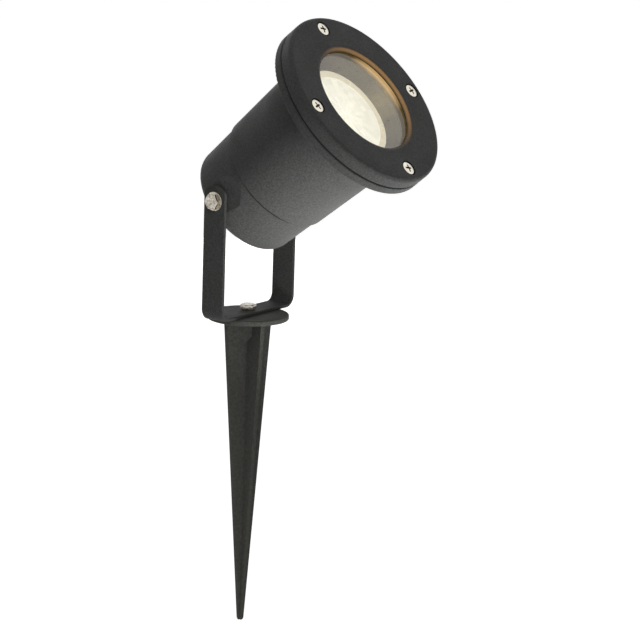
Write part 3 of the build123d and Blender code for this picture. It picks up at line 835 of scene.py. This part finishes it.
class SPOTLIGHT_OT_hex_bolts(bpy.types.Operator):
    """Make the hex bolts and flat washers of the pivot and the base"""

    bl_idname = "spotlight.hex_bolts"
    bl_label = "Hex bolts and washers"

    def execute(self, context):
        sizes = context.scene.spotlight_sizes
        for name, mesh, body, node in self.pivot_set(sizes) + self.base_set(sizes):
            mesh.materials.append(finish["stainless_steel"])
            piece(name, smoothed(mesh), body, "stainless_steel", node)
        return {"FINISHED"}

    def pivot_set(self, sizes):
        """Bolt and washer at both ends of the pivot, as (name, mesh, body, CAD node)."""
        head_turn = radians(22)
        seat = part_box("pivot_washers")[1].y
        tip = min(abs(vertex.co.y) for vertex in frame["nodes"]["pivot_bolts"].data.vertices)
        bolts, washers = [], []
        for side in (1, -1):
            spot = axes_at(PIVOT + ACROSS * side * seat, HEAD_DIR, ACROSS * side)
            bolts.append(hex_bolt("bolt", sizes, seat - tip, head_turn))
            washers.append(washer("washer", sizes, sizes.washer_radius))
            bolts[-1].transform(spot)
            washers[-1].transform(spot)
        return [
            ("hex_pivot_bolts", joined("hex_pivot_bolts", bolts), "head", "pivot_bolts"),
            ("flat_pivot_washers", joined("flat_pivot_washers", washers), "head", "pivot_washers"),
        ]

    def base_set(self, sizes):
        """Bolt and washer on the base of the bracket, as (name, mesh, body, CAD node)."""
        head_turn = radians(39)
        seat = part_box("base_washer")[1].z
        bolt = hex_bolt("bolt", sizes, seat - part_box("base_bolt")[0].z, head_turn)
        flat_washer = washer("washer", sizes, sizes.base_washer_radius)
        for mesh in (bolt, flat_washer):
            mesh.transform(Matrix.Translation((0.0, 0.0, seat)))
        return [
            ("hex_base_bolt", bolt, "spike", "base_bolt"),
            ("flat_base_washer", flat_washer, "spike", "base_washer"),
        ]


def ring_tree(name):
    """Geometry Nodes tree that stands copies of its mesh on a circle round Z.

    Each copy faces outwards, turned a little more at random.
    """
    tree = bpy.data.node_groups.new(name, "GeometryNodeTree")
    for label, kind in (
        ("Geometry", "NodeSocketGeometry"), ("Count", "NodeSocketInt"), ("Circle", "NodeSocketFloat"),
        ("Loose turn", "NodeSocketFloat"), ("Seed", "NodeSocketInt"), ("Material", "NodeSocketMaterial"),
    ):
        tree.interface.new_socket(label, in_out="INPUT", socket_type=kind)
    tree.interface.new_socket("Geometry", in_out="OUTPUT", socket_type="NodeSocketGeometry")
    inlet = add_node(tree, "NodeGroupInput")
    circle = add_node(
        tree, "GeometryNodeMeshCircle", links={"Vertices": (inlet, "Count"), "Radius": (inlet, "Circle")}
    )
    index = add_node(tree, "GeometryNodeInputIndex")
    step = add_node(tree, "ShaderNodeMath", {0: 2 * pi}, {1: (inlet, "Count")}, operation="DIVIDE")
    way = add_node(
        tree, "ShaderNodeMath", links={0: (index, "Index"), 1: (step, "Value")}, operation="MULTIPLY"
    )
    loose = add_node(
        tree, "FunctionNodeRandomValue", {2: -1.0, 3: 1.0}, {"Seed": (inlet, "Seed")}, data_type="FLOAT"
    )
    slip = add_node(
        tree, "ShaderNodeMath", links={0: (loose, 1), 1: (inlet, "Loose turn")}, operation="MULTIPLY"
    )
    turn = add_node(tree, "ShaderNodeMath", links={0: (way, "Value"), 1: (slip, "Value")}, operation="ADD")
    euler = add_node(tree, "ShaderNodeCombineXYZ", links={"Z": (turn, "Value")})
    copies = add_node(
        tree, "GeometryNodeInstanceOnPoints",
        links={"Points": (circle, "Mesh"), "Instance": (inlet, "Geometry"), "Rotation": (euler, "Vector")},
    )
    solid = add_node(tree, "GeometryNodeRealizeInstances", links={"Geometry": (copies, "Instances")})
    coated = add_node(
        tree, "GeometryNodeSetMaterial",
        links={"Geometry": (solid, "Geometry"), "Material": (inlet, "Material")},
    )
    add_node(tree, "NodeGroupOutput", links={"Geometry": (coated, "Geometry")})
    return tree


def ring_of(name, mesh, inputs):
    """Mesh of copies that a ring tree stands on a circle; the inputs are named as the tree's are."""
    source = added(name, mesh)
    modifier = source.modifiers.new("ring", "NODES")
    modifier.node_group = ring_tree(name)
    for socket in modifier.node_group.interface.items_tree:
        if socket.in_out == "INPUT" and socket.name in inputs:
            modifier[socket.identifier] = inputs[socket.name]
    return baked(source)


def cross_cutter(name, low, high):
    """Two crossed wedges; low and high are (height, half length, half width) of their ends."""
    bm = bmesh.new()
    for turn in (0.0, pi / 2):
        rows = []
        for z, reach, half in (low, high):
            corners = ((-reach, -half), (reach, -half), (reach, half), (-reach, half))
            rows.append([
                bm.verts.new((x * cos(turn) - y * sin(turn), x * sin(turn) + y * cos(turn), z))
                for x, y in corners
            ])
        bm.faces.new(rows[0])
        bm.faces.new(rows[1])
        for i in range(4):
            j = (i + 1) % 4
            bm.faces.new((rows[0][i], rows[0][j], rows[1][j], rows[1][i]))
    return closed_mesh(bm, name)


def screw_head(name, radius, height, dome):
    """Domed screw head on Z = 0 with a tapered cross recess."""
    roll = 0.45 * MM
    floor = (height - 1.3 * MM, 0.99 * MM, 0.30 * MM)
    mouth = (height + dome, 2.53 * MM, 0.575 * MM)
    top = height - dome
    profile = [(0.0, 0.0), (radius, 0.0), (radius, top - roll)]
    for angle in (pi / 6, pi / 3, pi / 2):
        profile.append((radius - roll * (1 - cos(angle)), top - roll * (1 - sin(angle))))
    for share in (0.8, 0.6, 0.4, 0.2, 0.0):
        profile.append(((radius - roll) * share, top + dome * (1 - share * share)))
    bm = bmesh.new()
    turned(bm, profile, steps=64)
    head = added(name, closed_mesh(bm, name))
    cross = added("cross", cross_cutter("cross", floor, mouth))
    cut = head.modifiers.new("recess", "BOOLEAN")
    cut.object, cut.operation, cut.solver, cut.use_self = cross, "DIFFERENCE", "EXACT", True
    mesh = baked(head)
    bpy.data.objects.remove(cross)
    return mesh


class SPOTLIGHT_OT_bezel_screws(bpy.types.Operator):
    """Stand the cross-recess screws on the bezel ring"""

    bl_idname = "spotlight.bezel_screws"
    bl_label = "Bezel screws"

    def execute(self, context):
        sizes = context.scene.spotlight_sizes
        inner, outer, rear, front = head_reach("bezel_screws")
        head_radius, circle = (outer - inner) / 2, (outer + inner) / 2
        head_height, shank_radius = 2.0 * MM, 2.0 * MM
        shank_end = rear - front + head_height
        bm = bmesh.new()
        bm.from_mesh(screw_head("screw_head", head_radius, head_height, sizes.screw_dome))
        shank = [(0.0, shank_end), (shank_radius, shank_end), (shank_radius, 0.0), (0.0, 0.0)]
        turned(bm, shank, steps=32)
        mesh = ring_of("ring of bezel screws", closed_mesh(bm, "bezel_screw"), {
            "Count": sizes.screw_count, "Circle": circle, "Loose turn": radians(20), "Seed": 4,
            "Material": finish["screws_with_painted_recess_shade"],
        })
        mesh.transform(axes_at(HEAD_REAR + HEAD_DIR * (front - head_height), ACROSS, HEAD_DIR))
        piece("cross_bezel_screws", smoothed(mesh), "head", "stainless_steel", "bezel_screws")
        return {"FINISHED"}


class SPOTLIGHT_OT_front_glass(bpy.types.Operator):
    """Finish the front glass, its seal and the bezel's gasket"""

    bl_idname = "spotlight.front_glass"
    bl_label = "Front glass and seals"

    def execute(self, context):
        dress(finish["clear_glass"], "glass_lens")
        dress(finish["black_rubber"], "glass_seal", "bezel_gasket")
        return {"FINISHED"}


class SPOTLIGHT_OT_shroud(bpy.types.Operator):
    """Finish the spun shroud between the glass and the lamp"""

    bl_idname = "spotlight.shroud"
    bl_label = "Lamp shroud"

    def execute(self, context):
        dress(finish["shroud_aluminium"], "lamp_shroud")
        return {"FINISHED"}


class SPOTLIGHT_OT_lamp(bpy.types.Operator):
    """Finish the lit reflector lamp"""

    bl_idname = "spotlight.lamp"
    bl_label = "Reflector lamp"

    def execute(self, context):
        dress(finish["lamp_mirror_glass"], "lamp_bowl")
        dress(finish["lamp_cover_glass"], "lamp_cover")
        dress(finish["capsule_glass"], "lamp_capsule")
        dress(finish["white_ceramic"], "lamp_base")
        dress(finish["brass"], "lamp_pins")
        return {"FINISHED"}


class SPOTLIGHT_OT_holder(bpy.types.Operator):
    """Finish the lamp holder, its plate and its screws"""

    bl_idname = "spotlight.holder"
    bl_label = "Lamp holder"

    def execute(self, context):
        dress(finish["white_ceramic"], "lamp_holder")
        dress(finish["brass"], "holder_contacts")
        dress(finish["zinc_steel"], "holder_plate", "plate_screws", "holder_screws")
        return {"FINISHED"}


class SPOTLIGHT_OT_wiring(bpy.types.Operator):
    """Finish the terminal block, the leads and the earth point"""

    bl_idname = "spotlight.wiring"
    bl_label = "Wiring"

    def execute(self, context):
        dress(finish["white_nylon"], "terminal_block")
        dress(finish["lead_silicone"], "lamp_leads")
        dress(finish["brass"], "earth_lug")
        dress(finish["zinc_steel"], "terminal_screws", "earth_screw")
        return {"FINISHED"}


class SPOTLIGHT_OT_gland(bpy.types.Operator):
    """Finish the cable gland and give its nut grip ribs"""

    bl_idname = "spotlight.gland"
    bl_label = "Cable gland"

    def execute(self, context):
        dress(finish["black_nylon"], "gland_body", "gland_locknut", "gland_nut")
        dress(finish["black_rubber"], "gland_seal")
        sizes = context.scene.spotlight_sizes
        _, outer, rear, front = head_reach("gland_nut")
        rib_radius, sunk = 0.5 * MM, 0.1 * MM
        rib_rear, rib_front = 2.2 * MM, front - rear - 0.4 * MM
        bm = bmesh.new()
        rib = [(0.0, rib_rear), (rib_radius, rib_rear), (rib_radius, rib_front), (0.0, rib_front)]
        turned(bm, rib, steps=16)
        mesh = ring_of("ring of gland ribs", closed_mesh(bm, "gland_rib"), {
            "Count": sizes.gland_ribs, "Circle": outer - sunk, "Loose turn": 0.0, "Seed": 1,
            "Material": finish["black_nylon"],
        })
        mesh.transform(axes_at(HEAD_REAR + HEAD_DIR * rear, ACROSS, HEAD_DIR))
        piece("gland_grip_ribs", smoothed(mesh), "head", "black_nylon")
        return {"FINISHED"}


class SPOTLIGHT_OT_stage(bpy.types.Operator):
    """Set up the floor, the light and the camera"""

    bl_idname = "spotlight.stage"
    bl_label = "Stage"

    def execute(self, context):
        scene = context.scene
        settings = scene.spotlight_stage
        scene.view_settings.view_transform = "Standard"
        self.light_world(scene, settings)
        self.lay_floor(settings)
        self.hang_lights(scene, settings)
        self.stand_camera(scene, settings)
        return {"FINISHED"}

    def light_world(self, scene, settings):
        """Even light, and a white surround for what the camera, metal and glass see."""
        world = bpy.data.worlds.new("studio")
        world.use_nodes = True
        tree = world.node_tree
        tree.nodes.clear()
        seen = self.seen_share(tree)
        even = add_node(
            tree, "ShaderNodeBackground", {"Color": linear("#ffffff"), "Strength": settings.ambient}
        )
        white = add_node(tree, "ShaderNodeBackground", {"Color": linear("#ffffff"), "Strength": 1.0})
        both = add_node(
            tree, "ShaderNodeMixShader",
            links={0: (seen, "Value"), 1: (even, "Background"), 2: (white, "Background")},
        )
        add_node(tree, "ShaderNodeOutputWorld", links={"Surface": (both, "Shader")})
        scene.world = world

    def seen_share(self, tree):
        """1 for camera, glossy and transmission rays, 0 for the rest."""
        path = add_node(tree, "ShaderNodeLightPath")
        shiny = add_node(
            tree, "ShaderNodeMath", links={0: (path, "Is Glossy Ray"), 1: (path, "Is Transmission Ray")},
            operation="MAXIMUM",
        )
        return add_node(
            tree, "ShaderNodeMath", links={0: (path, "Is Camera Ray"), 1: (shiny, "Value")},
            operation="MAXIMUM",
        )

    def lay_floor(self, settings):
        """White floor under the spike's tip, which keeps a soft shadow."""
        half = 4.0
        seen_glow = 0.935
        level = cad_box[0].z - settings.floor_gap
        corners = [(-half, -half, level), (half, -half, level), (half, half, level), (-half, half, level)]
        mesh = bpy.data.meshes.new("floor")
        mesh.from_pydata(corners, [], [(0, 1, 2, 3)])
        material, tree = blank_material("white studio floor")
        seen = self.seen_share(tree)
        plain = add_node(tree, "ShaderNodeBsdfDiffuse", {"Color": linear("#d8d8d6")})
        shade = add_node(tree, "ShaderNodeBsdfDiffuse", {"Color": linear("#d0d0d0")})
        glow = add_node(tree, "ShaderNodeEmission", {"Color": linear("#ffffff"), "Strength": seen_glow})
        lit = add_node(tree, "ShaderNodeAddShader", links={0: (shade, "BSDF"), 1: (glow, "Emission")})
        both = add_node(
            tree, "ShaderNodeMixShader",
            links={0: (seen, "Value"), 1: (plain, "BSDF"), 2: (lit, "Shader")},
        )
        add_node(tree, "ShaderNodeOutputMaterial", links={"Surface": (both, "Shader")})
        mesh.materials.append(material)
        added("floor", mesh)

    def hang_lights(self, scene, settings):
        """Softboxes: a small one under the head, large ones in front and behind, a small one at the foot."""
        middle = (cad_box[0] + cad_box[1]) / 2
        head_share, foot_height = 0.56, 0.06
        head = HEAD_REAR + HEAD_DIR * HEAD_FRONT * head_share
        foot = Vector((0.0, 0.0, cad_box[0].z + foot_height))
        self.hang(
            scene, "low_softbox", target=head, away=Vector((0.14, -0.05, -0.21)), size=0.07,
            power=settings.key_power, spread=radians(46),
        )
        self.hang(
            scene, "high_softbox", target=middle, away=Vector((0.64, -0.89, 0.87)), size=0.7,
            power=settings.fill_power,
        )
        self.hang(
            scene, "back_softbox", target=middle, away=Vector((-0.66, 0.86, 0.15)), size=0.7,
            power=settings.back_power,
        )
        self.hang(
            scene, "foot_softbox", target=foot, away=Vector((0.30, -0.46, 0.02)), size=0.1,
            power=settings.foot_power, spread=radians(36),
        )

    def hang(self, scene, name, target, away, size, power, spread=pi):
        """Square softbox that stands away from a target and faces it, with its light kept to a spread."""
        lamp = bpy.data.lights.new(name, "AREA")
        lamp.shape, lamp.size, lamp.energy, lamp.spread = "SQUARE", size, power, spread
        box = bpy.data.objects.new(name, lamp)
        box.location = target + away
        box.rotation_euler = (-away).to_track_quat("-Z", "Y").to_euler()
        box.visible_camera = False
        box.visible_glossy = False
        scene.collection.objects.link(box)

    def stand_camera(self, scene, settings):
        """Camera at the photograph's viewing angle."""
        a, e, lean = settings.azimuth, settings.elevation, settings.roll
        back = Vector((sin(a) * cos(e), -cos(a) * cos(e), sin(e)))
        right = Vector((cos(a), sin(a), 0.0))
        up = back.cross(right)
        data = bpy.data.cameras.new("camera")
        data.sensor_width, data.lens = 36.0, settings.lens
        camera = bpy.data.objects.new("camera", data)
        spot = right * settings.aside + up * settings.above + back * settings.distance
        camera.matrix_world = axes_at(spot, right * cos(lean) + up * sin(lean), back)
        scene.collection.objects.link(camera)
        scene.camera = camera


operators = (
    SPOTLIGHT_OT_finishes, SPOTLIGHT_OT_castings, SPOTLIGHT_OT_bracket, SPOTLIGHT_OT_spike,
    SPOTLIGHT_OT_hex_bolts, SPOTLIGHT_OT_bezel_screws, SPOTLIGHT_OT_front_glass, SPOTLIGHT_OT_shroud,
    SPOTLIGHT_OT_lamp, SPOTLIGHT_OT_holder, SPOTLIGHT_OT_wiring, SPOTLIGHT_OT_gland, SPOTLIGHT_OT_stage,
)
groups = (
    ("spotlight_finishes", SpotlightFinishes),
    ("spotlight_sizes", SpotlightSizes),
    ("spotlight_stage", SpotlightStage),
)


class SPOTLIGHT_PT_panel(bpy.types.Panel):
    """Settings and steps of the spotlight"""

    bl_label = "Garden spike spotlight"
    bl_idname = "SPOTLIGHT_PT_panel"
    bl_space_type = "VIEW_3D"
    bl_region_type = "UI"
    bl_category = "Spotlight"

    def draw(self, context):
        for name, group in groups:
            box = self.layout.box()
            for key in group.__annotations__:
                box.prop(getattr(context.scene, name), key)
        for operator in operators:
            self.layout.operator(operator.bl_idname)


def register():
    """Register the classes and their settings."""
    for name, group in groups:
        bpy.utils.register_class(group)
        setattr(bpy.types.Scene, name, PointerProperty(type=group))
    for each in (*operators, SPOTLIGHT_PT_panel):
        bpy.utils.register_class(each)


def unregister():
    """Take the classes and their settings away again."""
    for each in (SPOTLIGHT_PT_panel, *reversed(operators)):
        bpy.utils.unregister_class(each)
    for name, group in reversed(groups):
        delattr(bpy.types.Scene, name)
        bpy.utils.unregister_class(group)


def main():
    """Dress the spotlight step by step."""
    register()
    for operator in operators:
        step = operator.bl_idname.split(".")[1]
        getattr(bpy.ops.spotlight, step)()


if __name__ == "__main__":
    main()
